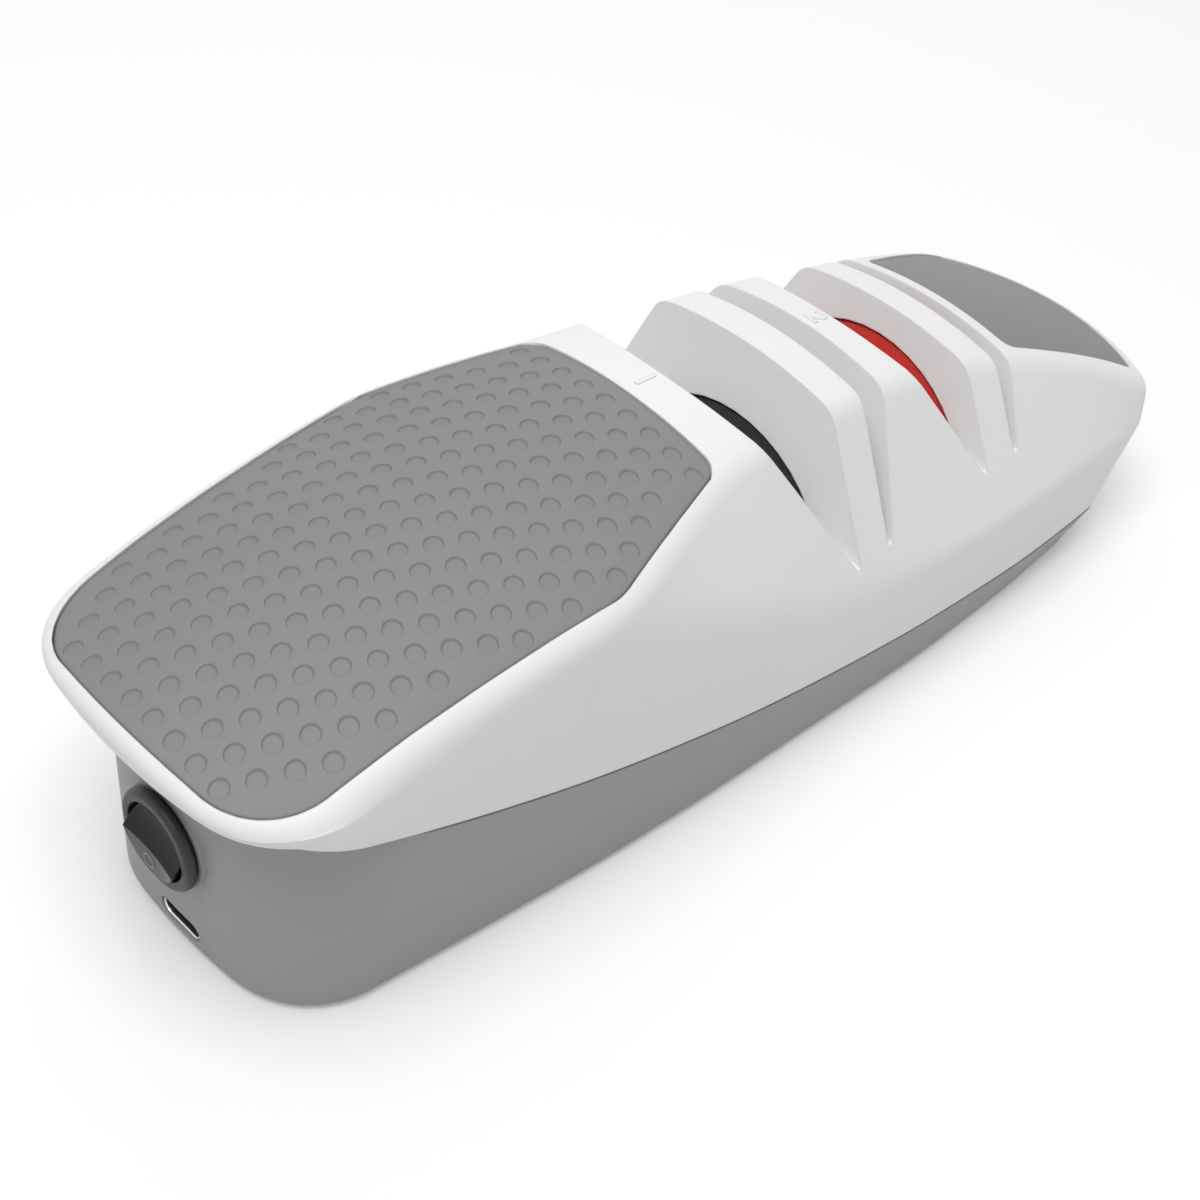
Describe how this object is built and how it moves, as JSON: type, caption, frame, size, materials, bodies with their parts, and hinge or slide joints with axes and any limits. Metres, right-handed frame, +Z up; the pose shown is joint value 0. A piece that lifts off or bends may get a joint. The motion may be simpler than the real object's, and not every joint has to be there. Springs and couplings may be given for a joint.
{
  "type": "electric knife sharpener",
  "caption": "Cordless bench sharpener for knives: long arched body with a dimpled grip pad, V-shaped blade slots over double cone abrasive wheels, end rocker switch and charging socket.",
  "frame": {"origin": "bottom centre of the bounding box, on the plane of the feet", "axes": "+X from the switch end to the curved far end, +Y to the left seen from the switch end, +Z up"},
  "size_m": [0.2142, 0.0644, 0.064],
  "materials": {
    "white_shell": "satin",
    "grey_casing": "fine matte texture",
    "grey_grip": "soft matte",
    "black_plastic": "gloss",
    "dark_bezel": "satin",
    "black_abrasive": "fine grit",
    "red_abrasive": "coarse grit",
    "bright_steel": "turned",
    "zinc_plate": "zinc plated",
    "sintered_bronze": "sintered",
    "nickel_strip": "bright",
    "contact_brass": "bright",
    "cell_wrap": "shrink film",
    "green_board": "solder mask",
    "amber_elastomer": "satin",
    "black_rubber": "matte"
  },
  "bodies": {
    "housing": {"upper_shell": "white_shell", "lower_casing": "grey_casing", "grip_pad": "grey_grip", "end_pad": "grey_grip", "near_bush": "sintered_bronze", "near_bearing_cap": "grey_casing", "near_cap_screw_left": "zinc_plate", "near_cap_screw_right": "zinc_plate", "far_bush": "sintered_bronze", "far_bearing_cap": "grey_casing", "far_cap_screw_left": "zinc_plate", "far_cap_screw_right": "zinc_plate", "motor_can": "zinc_plate", "motor_screw_upper": "zinc_plate", "motor_screw_lower": "zinc_plate", "motor_end_bell": "black_plastic", "left_cell": "cell_wrap", "right_cell": "cell_wrap", "cell_link": "nickel_strip", "switch_bezel": "dark_bezel", "switch_terminal_upper": "contact_brass", "switch_terminal_lower": "contact_brass", "charge_socket": "bright_steel", "socket_tongue": "black_plastic", "control_board": "green_board", "charge_chip": "black_plastic", "board_coil": "dark_bezel", "near_left_foot": "black_rubber", "near_left_case_screw": "zinc_plate", "near_right_foot": "black_rubber", "near_right_case_screw": "zinc_plate", "far_left_foot": "black_rubber", "far_left_case_screw": "zinc_plate", "far_right_foot": "black_rubber", "far_right_case_screw": "zinc_plate"},
    "rocker": {"switch_rocker": "black_plastic"},
    "drive_line": {"fine_wheel": "black_abrasive", "coarse_wheel": "red_abrasive", "fine_hub": "black_plastic", "coarse_hub": "black_plastic", "drive_shaft": "bright_steel", "spacer_sleeve": "zinc_plate", "thrust_collar": "zinc_plate", "shaft_clip": "bright_steel", "motor_shaft": "bright_steel", "motor_coupling": "zinc_plate", "shaft_coupling": "zinc_plate", "coupling_spider": "amber_elastomer"}
  },
  "joints": [
    {"name": "rocker_tip", "type": "hinge", "parent": "housing", "child": "rocker", "pos_m": [-0.10093, 0, 0.0245], "axis": [0, 0.9925, 0.1219], "range_deg": [-22, 0]},
    {"name": "wheel_spin", "type": "hinge", "parent": "housing", "child": "drive_line", "pos_m": [0.03, 0, 0.025], "axis": [1, 0, 0], "continuous": true}
  ]
}
